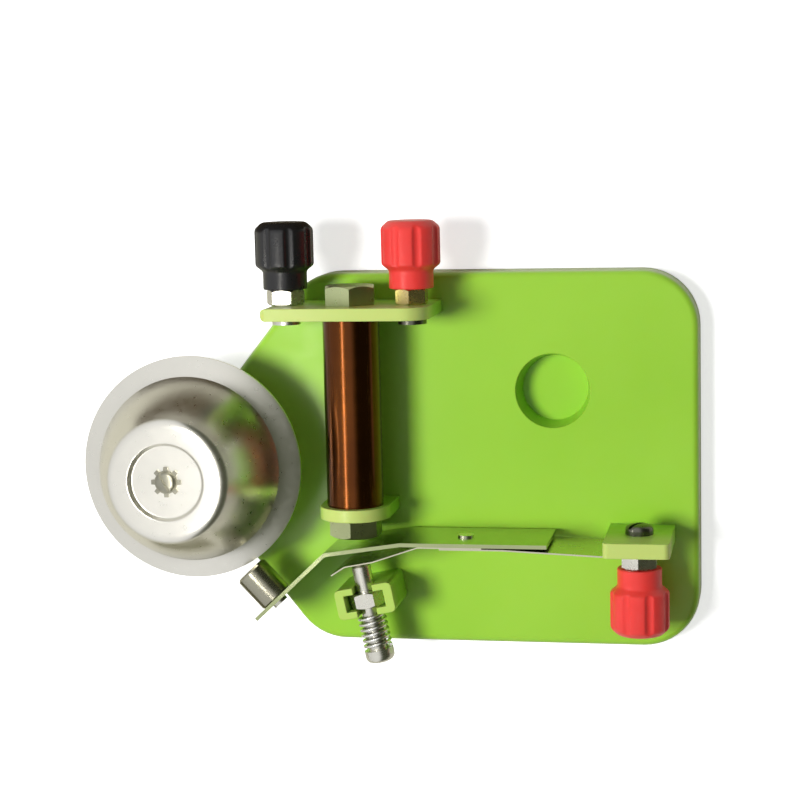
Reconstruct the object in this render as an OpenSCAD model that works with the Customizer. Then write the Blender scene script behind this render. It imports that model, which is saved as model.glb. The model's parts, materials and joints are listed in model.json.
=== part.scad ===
// Electric bell demonstrator: a gong, an electromagnet, a sprung armature with its hammer and an
// adjustable interrupter contact, all carried by one moulded base.
// X runs along the base from the gong to the square end, Y across it towards the two upper
// terminals and Z up out of it. The origin is on the underside, at the middle of the square part.

/* [Base] */
// Length of the square part of the base
base_len = 88.5; // [84:0.5:96]
// Width of the base
base_w = 80; // [74:0.5:86]
// Height of the base
base_h = 7; // [6.4:0.1:9]
// Corner radius of the base, seen from above
base_corner_r = 12; // [8:0.5:16]
// Radius of the rounded top edge
edge_r = 1.5; // [0.8:0.1:2]
// Radius of the nose under the gong
nose_r = 6.3; // [5.8:0.1:9]
// Thickness of the base's top plate
plate_t = 2.2; // [1.8:0.1:2.6]
// Thickness of the base's outer wall
skirt_t = 2; // [1.4:0.1:3]
// Thickness of the ribs under the base
rib_t = 1.2; // [0.8:0.1:2]
// Distance from rib to rib
rib_pitch = 12.5; // [10:0.1:12.8]

/* [Round recess] */
// Recess centre, from the middle of the square part towards the square end
cup_x = 13.7; // [4:0.1:24]
// Recess centre, from the long centre line
cup_y = 14.7; // [8:0.1:22]
// Radius of the recess at its mouth
cup_r = 7.9; // [6:0.1:10]
// How much narrower the floor of the recess is than its mouth
cup_draft = 0.9; // [0.2:0.1:1.4]
// Thickness of the floor and the wall of the recess
cup_t = 1.2; // [0.8:0.1:1.6]

/* [Walls that carry the parts] */
// Height of the terminal walls above the base
wall_h = 20.8; // [18:0.1:24]
// Height above the base of the coil, the terminals and the contact screw
axis_h = 10.4; // [9.6:0.1:11.4]
// Distance from the base's upper edge in to the terminal wall
top_wall_set = 5.8; // [4.5:0.1:7]
// Thickness of the terminal wall and of the coil's end wall
wall_t = 2.6; // [2:0.1:3.2]
// How far the terminal wall reaches past its outer terminal
top_wall_left = 3.2; // [2.8:0.05:3.4]
// How far the terminal wall reaches past its inner terminal
top_wall_right = 4.5; // [3.5:0.1:6]
// Radius of the upper corners of the walls on their outer sides
wall_corner = 1.2; // [0.6:0.1:2]
// Radius of the terminal wall's upper corner on the inner side
top_wall_corner = 5; // [2:0.5:6]
// Half the width of the coil's end wall
end_wall_r = 7.4; // [6.6:0.1:8.4]
// Distance from the armature's middle back to the right-hand wall's outer face
right_wall_back = 1.6; // [1.3:0.05:2.2]
// Thickness of the right-hand wall
right_wall_t = 3.1; // [2.4:0.1:3.6]
// Width of the right-hand wall
right_wall_w = 13.5; // [11:0.1:16]
// Right-hand terminal, from the middle of the square part
right_x = 32.4; // [28:0.1:34]

/* [Gong] */
// Gong axis, from the middle of the square part
gong_x = -61.8; // [-64:0.1:-61]
// Outer radius of the gong's rim
rim_r = 23.7; // [21.5:0.1:24]
// Height of the rim above the table
rim_z = 19.3; // [17:0.1:21]
// Radius of the crease between the flared skirt and the bowl
crease_r = 19.6; // [17:0.1:20.5]
// Height of the crease above the rim
crease_h = 2.9; // [2:0.1:4]
// Radius of the gong's flat crown
crown_r = 10.8; // [9:0.1:12]
// Height of the gong from its rim to its crown
gong_h = 19.6; // [17:0.1:22]
// Radius of the sunk disc in the crown
disc_r = 8; // [6.5:0.1:8.8]
// Depth of the sunk disc
disc_d = 1.1; // [0.6:0.1:1.6]
// Thickness of the gong's metal
gong_t = 0.9; // [0.6:0.1:1.4]
// Radius of the gong's post
post_r = 3.5; // [2.8:0.1:5]
// Radius of the screws at the two ends of the post
post_screw_r = 1.5; // [1.2:0.1:2]
// Radius of the toothed washer's points
star_r = 3.1; // [2.8:0.1:4]
// Number of teeth on the toothed washer
star_teeth = 8; // [6:1:12]

/* [Electromagnet] */
// Axis of the coil, from the middle of the square part
core_x = -27.05; // [-29:0.05:-26]
// Length of the coil between its two walls
coil_len = 39.7; // [37:0.1:40.2]
// Radius over the outer turns of the coil
coil_r = 6; // [5.2:0.1:6.4]
// Radius of the tube that the coil is wound on
former_r = 3.9; // [3.6:0.1:4.4]
// Radius of the core bolt
core_r = 3; // [2.5:0.05:3.2]
// Width across the flats of the core bolt's head and nut
core_af = 10; // [8.5:0.1:10.5]
// Height of the core bolt's head
core_head_h = 4; // [3:0.1:5]
// Thickness of the core bolt's nut
core_nut_h = 4; // [3:0.1:4.1]
// How far the core bolt's end stands out of its nut
pole_out = 0.2; // [0.1:0.05:0.4]
// Turns drawn on the outside of the coil
turns = 23; // [12:1:23]
// Thickness of a drawn turn
turn_d = 1.1; // [0.6:0.05:1.15]

/* [Terminals] */
// How far the middle of the two upper terminals lies outside the coil's axis
post_shift = 0.35; // [0:0.05:1]
// Distance between the two upper terminals
post_pitch = 26.8; // [25:0.1:29]
// Radius of the terminal studs
stud_r = 2; // [1.5:0.05:2.2]
// Width across the flats of the steel terminal nuts and of the contact screw's nut
nut_af = 7; // [6:0.1:7.3]
// Width across the flats of the brass terminal nut
brass_af = 6.2; // [5.4:0.1:7.3]
// Thickness of the terminal nuts
nut_h = 3.2; // [2.4:0.1:3.6]
// Radius of the thin heads behind the terminal wall
stud_head_r = 3; // [2.6:0.1:3.4]
// Thickness of those heads
stud_head_h = 1.1; // [0.8:0.1:1.6]
// Thickness of the solder tags and of the washer on the right-hand terminal
tag_t = 0.4; // [0.3:0.05:0.6]
// Radius of a knob's grip
grip_r = 6.1; // [5.4:0.1:6.4]
// Radius of a knob's neck
neck_r = 4.6; // [4.2:0.1:5]
// Length of a knob
knob_len = 14; // [12:0.1:16]
// Length of a knob's neck
neck_len = 5; // [3:0.1:6]
// Number of grooves round a knob
grooves = 8; // [6:1:12]
// Radius of the brass bush in a knob
bush_r = 3; // [2.7:0.1:3.4]
// Length of the brass bush in a knob
bush_len = 10; // [8:0.1:11]

/* [Armature] */
// Distance from the coil's end wall to the middle of the armature's thickness
arm_gap = 4.3; // [4.2:0.05:4.6]
// Thickness of the armature
arm_t = 0.8; // [0.6:0.05:1]
// Width of the armature, of its spring and of the contact leaf
arm_w = 17; // [13:0.1:17.6]
// Height of their upper edge above the coil's axis
arm_up = 8; // [6.5:0.1:9]
// Right-hand end of the armature, from the middle of the square part
arm_end_x = 14.15; // [10:0.1:18]
// Where the armature starts to fall away from the coil
arm_slope_x = -16.3; // [-18:0.1:-15]
// Angle of that slope
arm_slope = 8.5; // [8:0.5:11]
// Where the hammer arm bends towards the gong
arm_bend_x = -32.35; // [-34:0.1:-32]
// Angle of the hammer arm below the long direction
arm_dip = 43.2; // [41:0.1:46]
// Length of the hammer arm past that bend
arm_reach = 20.6; // [20:0.1:23]
// Rivet that joins armature, leaf and spring
rivet_x = -3.65; // [-6:0.1:0]
// Radius of the rivets
rivet_r = 1; // [0.7:0.05:1.3]
// Thickness of the armature's spring
spring_t = 0.3; // [0.2:0.05:0.4]
// Where the spring leaves the armature
spring_free_x = 5; // [3:0.1:8]
// Distance from the bend to the hammer
hammer_at = 16.4; // [15.8:0.1:16.6]
// Radius of the hammer
hammer_r = 3.7; // [3:0.1:4]
// How far the hammer is above the coil's axis
hammer_up = 1; // [0.5:0.1:2]
// Gap between the hammer and the gong's rim at rest
strike_gap = 0.8; // [0.7:0.05:1.2]

/* [Interrupter] */
// Contact post, from the middle of the square part
block_x = -24.95; // [-26:0.05:-24.5]
// Distance from the armature's middle back to the contact post's middle
block_back = 13.2; // [12.9:0.1:13.6]
// Angle that the contact screw is turned from straight across
screw_tilt = 11; // [7:0.5:11]
// Width of the contact post
block_w = 12.4; // [11.6:0.1:14]
// Thickness of the contact post, along the screw
block_d = 6.4; // [6.2:0.1:7.4]
// Radius of the contact post's upright corners
block_corner = 0.9; // [0.4:0.1:1.4]
// Side walls of the contact post beside its nut
block_side = 1.9; // [1.5:0.1:2.2]
// Height of the contact post above the screw's axis
block_up = 3.3; // [3.1:0.1:5]
// Distance from the contact post's middle to the contact leaf
leaf_reach = 8.75; // [8.2:0.05:9]
// Thickness of the contact leaf
leaf_t = 0.25; // [0.15:0.05:0.35]
// Where the contact leaf bends away from the armature
leaf_bend_x = -12.6; // [-13.5:0.1:-11.5]
// Radius of the contact screw
screw_r = 2; // [1.6:0.05:2.2]
// Radius of the contact screw's head
screw_head_r = 3.1; // [2.8:0.1:3.6]
// Height of the contact screw's head
screw_head_h = 2.9; // [2.6:0.1:4]
// Length of the spring between the contact post and the screw's head
coil_spring_len = 7.9; // [7.6:0.1:9]
// Wire thickness of that spring
coil_spring_wire = 0.7; // [0.5:0.05:0.75]
// Outer radius of that spring
coil_spring_r = 3.1; // [3:0.05:3.3]
// Turns of that spring
coil_spring_turns = 6; // [3:1:6]
// Gap between the screw's contact and the leaf at rest
contact_gap = 0.1; // [0.05:0.05:0.2]

/* [Wires] */
// Thickness of the coil's inner lead
lead_d = 0.45; // [0.3:0.05:0.5]
// Thickness of the covered wire under the base
wire_d = 1.3; // [1:0.1:1.6]

/* [Fits] */
// Gap at each side of a shank in a plain hole
hole_gap = 0.1; // [0.05:0.01:0.2]
// Gap at each side of a thread in its nut or bush
thread_gap = 0.05; // [0.02:0.01:0.09]
// Gap between faces that meet but turn or slide on each other
face_gap = 0.05; // [0.02:0.01:0.2]

/* [Hidden] */
$fn = 64;
eps = 0.01;

// Heights
axis_z = base_h + axis_h;
wall_top = base_h + wall_h;
crown_z = rim_z + gong_h;

// Base outline
half_len = base_len / 2;
half_w = base_w / 2;
corner_x = half_len - base_corner_r;
corner_y = half_w - base_corner_r;
nose_vec = [-corner_x - gong_x, corner_y];
nose_dist = norm(nose_vec);
nose_turn = atan2(nose_vec[1], nose_vec[0]) + asin((base_corner_r - nose_r) / nose_dist);
nose_side = sqrt(pow(nose_dist, 2) - pow(base_corner_r - nose_r, 2));

// Terminal wall and the core through it
top_wall_y = half_w - top_wall_set;
post_left_x = core_x - post_shift - post_pitch / 2;
post_right_x = core_x - post_shift + post_pitch / 2;
top_wall_in = top_wall_y - wall_t;
end_wall_in = top_wall_in - coil_len;
end_wall_out = end_wall_in - wall_t;
pole_y = end_wall_out - core_nut_h - pole_out;
arm_y = end_wall_out - arm_gap;
right_wall_y = arm_y - right_wall_back;
block_y = arm_y - block_back;
head_turn = 10;
core_len = top_wall_y - pole_y;
tag_seat_y = top_wall_in - tag_t;

// Knob travel and stud lengths
knob_seat = nut_h + face_gap;
engaged = bush_len - 1;
knob_y = top_wall_y + knob_seat;
right_nut_y = right_wall_y - spring_t - tag_t;
right_knob_y = right_nut_y - knob_seat;
bolt_head_r = stud_r * 1.45;
bolt_head_h = 2.2;

// Gong
disc_z = crown_z - disc_d;
post_top = disc_z - gong_t;
star_t = 0.5;
gong_head_r = 2.2;
gong_head_h = 1.1;
foot_depth = 3.2;

// Armature: its slope and its hammer arm, as points along the middle of the strip
slope_dir = [-cos(arm_slope), -sin(arm_slope)];
dip_dir = [-cos(arm_dip), -sin(arm_dip)];
dip_normal = [-sin(arm_dip), cos(arm_dip)];
bend_point = [arm_bend_x, arm_y - (arm_slope_x - arm_bend_x) * tan(arm_slope)];
arm_tip = bend_point + dip_dir * arm_reach;
arm_z = axis_z + arm_up - arm_w;
hammer_foot = bend_point + dip_dir * hammer_at;
hammer_z = axis_z + hammer_up;

// The hammer's face stands strike_gap from the rim at its nearest edge
hammer_off = (hammer_foot - [gong_x, 0]) * dip_dir;
hammer_face = sqrt(pow(rim_r + strike_gap, 2) - pow(abs(hammer_off) - hammer_r, 2));
hammer_len = -((hammer_foot - [gong_x, 0]) * dip_normal) - arm_t / 2 - hammer_face;

// Stack behind the armature at the rivet
leaf_y = arm_y - arm_t / 2 - leaf_t / 2;
spring_y = leaf_y - leaf_t / 2 - spring_t / 2;
clamp_y = right_wall_y - spring_t / 2;
rivet_head_h = 0.7;
rivet_head_r = rivet_r * 1.7;

// Interrupter: the screw's direction and the contact leaf that lies square to it
screw_dir = [-sin(screw_tilt), cos(screw_tilt)];
leaf_dir = [cos(screw_tilt), sin(screw_tilt)];
leaf_point = [block_x, block_y] + screw_dir * leaf_reach;
leaf_end = [-cos(arm_dip - 10), -sin(arm_dip - 10)];
block_z = axis_z + block_up;
pocket_w = block_w - 2 * block_side;
pocket_d = nut_h + 0.4;
pocket_z = axis_z - nut_af / 2 - 0.15;
slot_r = screw_r + 0.15;
screw_back = block_d / 2 + coil_spring_len;
tip_r = 1.3;
tip_h = 0.8;
tip_pin_r = 0.8;
tip_pin_len = 1.6;
leaf_contact_h = 0.25;
screw_front = leaf_reach - leaf_t / 2 - leaf_contact_h - contact_gap - tip_h;

// Coil windings and wires
winding_r = coil_r - turn_d - 0.03;
turn_pitch = (coil_len - turn_d * 1.2) / (turns - 0.75);
lead_z = axis_z - coil_r - turn_d;
tag_tail = 4.8;
tag_foot_z = axis_z - coil_r - 2 * turn_d;
wire_x = post_right_x;
wire_y = top_wall_in - wire_d * 0.65;
wire_z = 3.4;
wire_hole_r = wire_d / 2 + 0.15;

// Screw head under the nose and rivet ends
foot_head_z = 0.6;
foot_head_h = 1.6;
foot_head_r = 2.7;
rivet_depth = 4;
leaf_tail = 4.4;
crease_z = rim_z + crease_h;

// ---- Helpers ----

function unit(v) = v / norm(v);

// Points of the arc that rounds corner b between a and c, with radius r and n steps
function corner_arc(a, b, c, r, n) =
    let (u = unit(a - b), w = unit(c - b), half = acos(u * w) / 2, d = r / tan(half),
        o = b + unit(u + w) * (r / sin(half)), e = unit(b + u * d - o), f = unit(b + w * d - o),
        sweep = 180 - 2 * half)
    [for (i = [0:n]) o + r * (sin(sweep * (1 - i / n)) * e + sin(sweep * i / n) * f) / sin(sweep)];

// A path through the points p with its inner corners rounded
function rounded_path(p, r, n) =
    concat([p[0]], [for (i = [1:len(p) - 2]) each corner_arc(p[i - 1], p[i], p[i + 1], r, n)],
        [p[len(p) - 1]]);

// Direction of a path at point i
function heading(p, i) = unit(p[min(i + 1, len(p) - 1)] - p[max(i - 1, 0)]);

// One side of a strip of thickness t that follows the flat path p
function strip_side(p, t) = [for (i = [0:len(p) - 1]) let (h = heading(p, i)) p[i] + [-h[1], h[0]] * t / 2];

function reversed(v) = [for (i = [len(v) - 1:-1:0]) v[i]];

function bezier(a, b, c, d, n) =
    [for (i = [0:n]) let (t = i / n)
        pow(1 - t, 3) * a + 3 * t * pow(1 - t, 2) * b + 3 * t * t * (1 - t) * c + pow(t, 3) * d];

// A bent strip that stands on its edge from height z
module strip(path, t, z, w) {
    translate([0, 0, z]) linear_extrude(w)
        polygon(concat(strip_side(path, t), reversed(strip_side(path, -t))));
}

// Points of a helix on the Z axis: radius r, n turns, pitch p, k rings to a turn
function helix(r, n, p, k) =
    [for (i = [0:n * k]) [r * cos(360 * i / k), r * sin(360 * i / k), p * i / k]];

// Least distance between the surfaces of neighbouring turns of a helix of wire d
function least_gap(h, k, d) =
    min([for (i = [0:len(h) - 1 - k - 1]) min([for (j = [k - 1:k + 1]) norm(h[i] - h[i + j])])]) - d;

// A direction square to the path at each of its points, carried along without twist
function carried(p) =
    let (first = cross(heading(p, 0), [0.31, 0.22, 0.92]))
    [for (i = 0, r = first; i < len(p); i = i + 1,
        r = r - (r * heading(p, min(i, len(p) - 1))) * heading(p, min(i, len(p) - 1))) unit(r)];

// A tube of diameter d with s sides along the points p
module tube(p, d, s) {
    n = len(p);
    side = carried(p);
    rings = [for (i = [0:n - 1]) let (h = heading(p, i), a = unit(side[i] - (side[i] * h) * h),
        b = cross(h, a)) for (j = [0:s - 1]) p[i] + d / 2 * (cos(360 * j / s) * a + sin(360 * j / s) * b)];
    walls = [for (i = [0:n - 2]) for (j = [0:s - 1]) let (a = i * s + j, b = i * s + (j + 1) % s)
        each [[a, a + s, b], [b, a + s, b + s]]];
    ends = [for (j = [1:s - 2]) each [[0, j, j + 1],
        [(n - 1) * s, (n - 1) * s + j + 1, (n - 1) * s + j]]];
    polyhedron(rings, concat(walls, ends));
}

// Turns children from +Z to +Y (side 1) or -Y (side -1) and puts them at x, y on the axis height
module along_y(x, y, side = 1) {
    translate([x, y, axis_z]) rotate([-90 * side, 0, 0]) children();
}

// Puts children on the contact screw's axis: +Z runs from the screw's head to the leaf,
// and the origin is the middle of the contact post
module along_screw() {
    translate([block_x, block_y, axis_z]) rotate([0, 0, screw_tilt]) rotate([-90, 0, 0]) children();
}

// Puts children on the hammer arm's middle: +Z runs from the arm to the gong
module along_hammer() {
    translate([hammer_foot[0], hammer_foot[1], hammer_z]) rotate([0, 0, arm_dip]) rotate([-90, 0, 0])
        children();
}

// Hexagon with its corners turned down, across the flats af; turned so that a corner is up
module hex_body(af, h, corner_up = true, both_ends = false) {
    r = af / sqrt(3);
    cut = r * 0.09;
    intersection() {
        rotate(corner_up ? 30 : 0) cylinder(h = h, r = r, $fn = 6);
        rotate_extrude() polygon([[0, 0], [both_ends ? r - cut * 1.6 : r + 1, 0],
            [r + 0.001, both_ends ? cut : 0], [r + 0.001, h - cut], [r - cut * 1.6, h], [0, h]]);
    }
}

// A hole of radius r along Y, through everything within reach of the place x, y
module y_hole(x, y, r, reach = 3) {
    along_y(x, y - reach) cylinder(h = 2 * reach, r = r);
}

// A hexagon nut: bore b, across the flats af, thickness h
module nut(af, h, b, corner_up = true) {
    difference() {
        hex_body(af, h, corner_up, true);
        translate([0, 0, -1]) cylinder(h = h + 2, r = b);
    }
}

// ---- Base ----

// A disc with a rounded top edge, the form of each corner of the base
module edge_disc(r) {
    rotate_extrude($fn = 48) intersection() {
        union() {
            square([r - edge_r, base_h]);
            square([r, base_h - edge_r]);
            translate([r - edge_r, base_h - edge_r]) circle(edge_r, $fn = 24);
        }
        square([r + 1, base_h]);
    }
}

// The base seen from above, drawn in by inset all round
module base_plan(inset) {
    r = base_corner_r - inset;
    n = nose_r - inset;
    out = [-sin(nose_turn), cos(nose_turn)];
    along = [cos(nose_turn), sin(nose_turn)];
    left = [[gong_x, 0] + out * n, [gong_x, 0] + out * n + along * nose_side, [-corner_x, half_w - inset]];
    right = [[corner_x, half_w - inset], [half_len - inset, corner_y]];
    top = concat(left, right);
    polygon(concat(top, [for (p = reversed(top)) [p[0], -p[1]]]));
    for (x = [-corner_x, corner_x], y = [-corner_y, corner_y]) translate([x, y]) circle(r);
    translate([gong_x, 0]) circle(n);
}

module base_shell() {
    hull() {
        for (x = [-corner_x, corner_x], y = [-corner_y, corner_y]) translate([x, y, 0])
            edge_disc(base_corner_r);
        translate([gong_x, 0, 0]) edge_disc(nose_r);
    }
}

// The hollow under the top plate, with its ribs and bosses left standing
module base_hollow() {
    difference() {
        translate([0, 0, -1]) linear_extrude(base_h - plate_t + 1) base_plan(skirt_t);
        for (x = [-floor((half_len - gong_x) / rib_pitch):floor(half_len / rib_pitch)])
            translate([x * rib_pitch - rib_t / 2, -half_w, -2]) cube([rib_t, base_w, base_h + 2]);
        for (y = [-floor(half_w / rib_pitch) + 1:floor(half_w / rib_pitch) - 1])
            translate([gong_x - nose_r, y * rib_pitch - rib_t / 2, -2])
                cube([half_len - gong_x + nose_r, rib_t, base_h + 2]);
        translate([gong_x, 0, -2]) cylinder(h = base_h + 2, r = nose_r + 0.5);
        translate([cup_x, cup_y, -2]) cylinder(h = base_h + 2, r = cup_r + cup_t);
    }
}

// A wall's face in XZ from x0 to x1, with its upper corners rounded by ra and rb
module wall_face(x0, x1, ra, rb) {
    z0 = base_h - edge_r;
    polygon([[x0, z0], [x0, wall_top - ra], [x0 + ra, wall_top], [x1 - rb, wall_top], [x1, wall_top - rb],
        [x1, z0]]);
    translate([x0 + ra, wall_top - ra]) circle(ra);
    translate([x1 - rb, wall_top - rb]) circle(rb);
}

// Extrudes a drawing in XZ by t towards -Y, from the face at y
module in_xz(y, t) {
    translate([0, y, 0]) rotate([90, 0, 0]) linear_extrude(t) children();
}

module terminal_wall() {
    x0 = post_left_x - top_wall_left;
    x1 = post_right_x + top_wall_right;
    intersection() {
        in_xz(top_wall_y, wall_t) wall_face(x0, x1, wall_corner, top_wall_corner);
        linear_extrude(wall_top + 1) {
            translate([x0 + wall_t / 2, top_wall_in]) square([x1 - x0, wall_t]);
            translate([x0 + wall_t / 2, top_wall_in + wall_t / 2]) circle(wall_t / 2);
        }
    }
}

module coil_end_wall() {
    along_y(core_x, end_wall_out) cylinder(h = wall_t, r = end_wall_r);
    translate([core_x - end_wall_r, end_wall_out, base_h - edge_r])
        cube([2 * end_wall_r, wall_t, axis_z - base_h + edge_r]);
}

module right_wall() {
    in_xz(right_wall_y + right_wall_t, right_wall_t)
        wall_face(right_x - right_wall_w / 2, right_x + right_wall_w / 2, wall_corner, wall_corner);
}

// The post that holds the contact screw's nut: a block with a pocket open at the top
function block_plan() = [for (c = [0 : 3], t = [0 : 2])
    let (sx = c == 0 || c == 3 ? 1 : -1, sy = c < 2 ? 1 : -1, a = 90 * c + 45 * t)
    [sx * (block_w / 2 - block_corner) + block_corner * cos(a),
        sy * (block_d / 2 - block_corner) + block_corner * sin(a)]];

module contact_block() {
    difference() {
        translate([block_x, block_y, 0]) rotate([0, 0, screw_tilt]) difference() {
            translate([0, 0, base_h - edge_r]) linear_extrude(block_z - base_h + edge_r)
                polygon(block_plan());
            translate([-pocket_w / 2, -pocket_d / 2, pocket_z]) cube([pocket_w, pocket_d, block_z]);
            translate([-slot_r, -block_d, axis_z]) cube([2 * slot_r, 2 * block_d, block_z]);
        }
        along_screw() translate([0, 0, -block_d]) cylinder(h = 2 * block_d, r = slot_r);
    }
}

// The groove that the covered wire lies in, cut through the ribs only
module wire_groove() {
    run = [block_x, block_y] - [wire_x, wire_y];
    translate([wire_x, wire_y, wire_z - wire_d]) rotate([0, 0, atan2(run[1], run[0])])
        translate([0, -wire_d, 0]) cube([norm(run), 2 * wire_d, 1.85 * wire_d]);
}

module base_moulding() {
    color([0.55, 0.78, 0.16]) difference() {
        union() {
            difference() {
                base_shell();
                base_hollow();
            }
            terminal_wall();
            coil_end_wall();
            right_wall();
            contact_block();
        }
        translate([cup_x, cup_y, cup_t]) cylinder(h = base_h - cup_t, r1 = cup_r - cup_draft, r2 = cup_r);
        translate([cup_x, cup_y, base_h]) cylinder(h = 1, r = cup_r);
        y_hole(core_x, top_wall_y - wall_t / 2, core_r + hole_gap);
        y_hole(core_x, end_wall_out + wall_t / 2, core_r + hole_gap);
        for (x = [post_left_x, post_right_x]) y_hole(x, top_wall_y - wall_t / 2, stud_r + hole_gap);
        y_hole(right_x, right_wall_y + right_wall_t / 2, stud_r + hole_gap);
        translate([gong_x, 0, -1]) cylinder(h = base_h + 2, r = post_screw_r + hole_gap);
        translate([gong_x, 0, -1]) cylinder(h = foot_head_z + foot_head_h + 1, r = foot_head_r + 0.3);
        translate([wire_x, wire_y, wire_z - wire_d]) cylinder(h = base_h, r = wire_hole_r);
        translate([block_x, block_y, wire_z - wire_d]) cylinder(h = pocket_z, r = wire_hole_r);
        wire_groove();
    }
}

// ---- Gong ----

function gong_outside() = concat(
    [[rim_r, rim_z]],
    bezier([rim_r, rim_z + gong_t], [rim_r - 1.4, rim_z + gong_t + 0.3],
        [crease_r + 0.5, crease_z - 1.3], [crease_r, crease_z], 8),
    bezier([crease_r - 0.02, crease_z + 0.02], [crease_r - 1.6, crease_z + 5.6],
        [crown_r + 4.8, crown_z - 5.1], [crown_r + 2.4, crown_z - 1.5], 8),
    bezier([crown_r + 2.39, crown_z - 1.48], [crown_r + 1.9, crown_z - 0.6], [crown_r + 1.2, crown_z],
        [crown_r, crown_z], 6),
    [[disc_r, crown_z], [disc_r - 0.5, crown_z - disc_d * 0.25], [disc_r - 0.9, disc_z]]);

function gong_inside() = concat(
    [[disc_r - 0.3, disc_z - gong_t], [disc_r + 0.3, disc_z - gong_t + disc_d * 0.75],
        [disc_r + 0.8, crown_z - gong_t]],
    reversed(bezier([crown_r + 2.4 - gong_t, crown_z - 1.9], [crown_r + 1.5 - gong_t * 0.5, crown_z - 1.2],
        [crown_r + 0.6, crown_z - gong_t], [crown_r - 0.2, crown_z - gong_t], 6)),
    reversed(bezier([crease_r - gong_t, crease_z], [crease_r - gong_t - 1.6, crease_z + 5.6],
        [crown_r + 4.8 - gong_t, crown_z - 5.3], [crown_r + 2.41 - gong_t, crown_z - 1.93], 8)),
    reversed(bezier([rim_r - 0.4, rim_z], [rim_r - 1.8, rim_z + 0.2],
        [crease_r + 0.3 - gong_t, crease_z - 1.8], [crease_r - gong_t + 0.01, crease_z - 0.03], 8)));

module gong() {
    color([0.75, 0.75, 0.72]) translate([gong_x, 0, 0]) rotate_extrude($fn = 96)
        polygon(concat(gong_outside(), [[post_screw_r + hole_gap, disc_z],
            [post_screw_r + hole_gap, disc_z - gong_t]], gong_inside()));
}

module gong_post() {
    color([0.7, 0.7, 0.7]) translate([gong_x, 0, 0]) difference() {
        translate([0, 0, base_h]) cylinder(h = post_top - base_h, r = post_r);
        translate([0, 0, base_h - 1]) cylinder(h = foot_depth + 1.5, r = post_screw_r + thread_gap);
        translate([0, 0, post_top - foot_depth - 0.5]) cylinder(h = 8, r = post_screw_r + thread_gap);
    }
}

module gong_post_foot_screw() {
    color([0.6, 0.6, 0.6]) translate([gong_x, 0, 0]) difference() {
        union() {
            translate([0, 0, foot_head_z]) cylinder(h = foot_head_h, r = foot_head_r);
            translate([0, 0, foot_head_z]) cylinder(h = base_h + foot_depth - foot_head_z, r = post_screw_r);
        }
        translate([-0.4, -foot_head_r, 0]) cube([0.8, 2 * foot_head_r, foot_head_z + 0.8]);
    }
}

// A low domed head of radius r and height h, with a slot for a screwdriver
module domed_head(r, h, rim, slot) {
    difference() {
        rotate_extrude() polygon(concat([[0, 0], [r, 0]],
            bezier([r, rim], [r, (rim + h) / 2 + h * 0.2], [r * 0.6, h], [0, h], 8)));
        translate([-slot / 2, -r - 1, h - slot]) cube([slot, 2 * r + 2, slot + 1]);
    }
}

module gong_screw() {
    color([0.85, 0.85, 0.83]) translate([gong_x, 0, disc_z + star_t]) {
        rotate(30) domed_head(gong_head_r, gong_head_h, 0.3, 0.5);
        translate([0, 0, -star_t - gong_t - foot_depth]) cylinder(h = star_t + gong_t + foot_depth + 0.1,
            r = post_screw_r);
    }
}

module star_washer() {
    color([0.8, 0.8, 0.78]) translate([gong_x, 0, disc_z]) linear_extrude(star_t) difference() {
        union() {
            circle(star_r - 0.7);
            for (i = [0:star_teeth - 1]) rotate(360 * i / star_teeth)
                polygon([[0, -0.7], [star_r, -0.45], [star_r, 0.45], [0, 0.7]]);
        }
        circle(post_screw_r + hole_gap);
    }
}

// ---- Electromagnet ----

module core_bolt() {
    color([0.55, 0.55, 0.55]) {
        along_y(core_x, top_wall_y) rotate(head_turn) hex_body(core_af, core_head_h);
        along_y(core_x, pole_y) cylinder(h = core_len + 0.1, r = core_r);
    }
}

module core_nut() {
    color([0.55, 0.55, 0.55]) along_y(core_x, end_wall_out, -1)
        nut(core_af, core_nut_h, core_r + thread_gap);
}

module coil_tube(r_in, r_out) {
    along_y(core_x, end_wall_in) difference() {
        cylinder(h = coil_len, r = r_out);
        translate([0, 0, -1]) cylinder(h = coil_len + 2, r = r_in);
    }
}

module coil_former() {
    color([0.9, 0.9, 0.86]) coil_tube(core_r + hole_gap, former_r);
}

module coil_winding() {
    color([0.72, 0.4, 0.18]) coil_tube(former_r + 0.02, winding_r);
}

// The outer layer, wound on the plain layers below it
module coil_outer_turns() {
    h = helix(coil_r - turn_d / 2, turns - 0.75, turn_pitch, 24);
    echo("coil_outer_turns: least gap between turns, mm", least_gap(h, 24, turn_d));
    color([0.8, 0.46, 0.2]) along_y(core_x, end_wall_in + turn_d * 0.6) tube(h, turn_d, 6);
}

// The two leads: one carries the outer layer's last turn on to the outer terminal's tag, and one
// comes from the inner layer, out between the last two turns, to the inner terminal's tag
module coil_leads() {
    last_y = end_wall_in + turn_d * 0.6 + turn_pitch * (turns - 0.75);
    last_z = axis_z - coil_r + turn_d / 2;
    outer_y = top_wall_in - turn_d * 0.55;
    outer = [[core_x - 0.1, last_y, last_z], [core_x - coil_r, outer_y, lead_z],
        [post_left_x + tag_tail / 2, outer_y, lead_z]];
    inner_x = core_x + coil_r / 2;
    inner_y = last_y - turn_pitch / 2;
    inner_z = tag_foot_z + lead_d * 2;
    inner = [[core_x, inner_y, axis_z - winding_r], [core_x, inner_y, inner_z],
        [inner_x, tag_seat_y, inner_z], [post_right_x - tag_tail / 2, tag_seat_y, inner_z]];
    color([0.8, 0.46, 0.2]) {
        tube(rounded_path(outer, 1.3, 5), turn_d, 8);
        tube(rounded_path(inner, 0.8, 5), lead_d, 8);
    }
}

// ---- Terminals ----

module terminal_stud(x) {
    y = tag_seat_y - stud_head_h;
    along_y(x, y) {
        cylinder(h = stud_head_h, r = stud_head_r);
        cylinder(h = knob_y + engaged - y, r = stud_r);
    }
}

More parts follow.
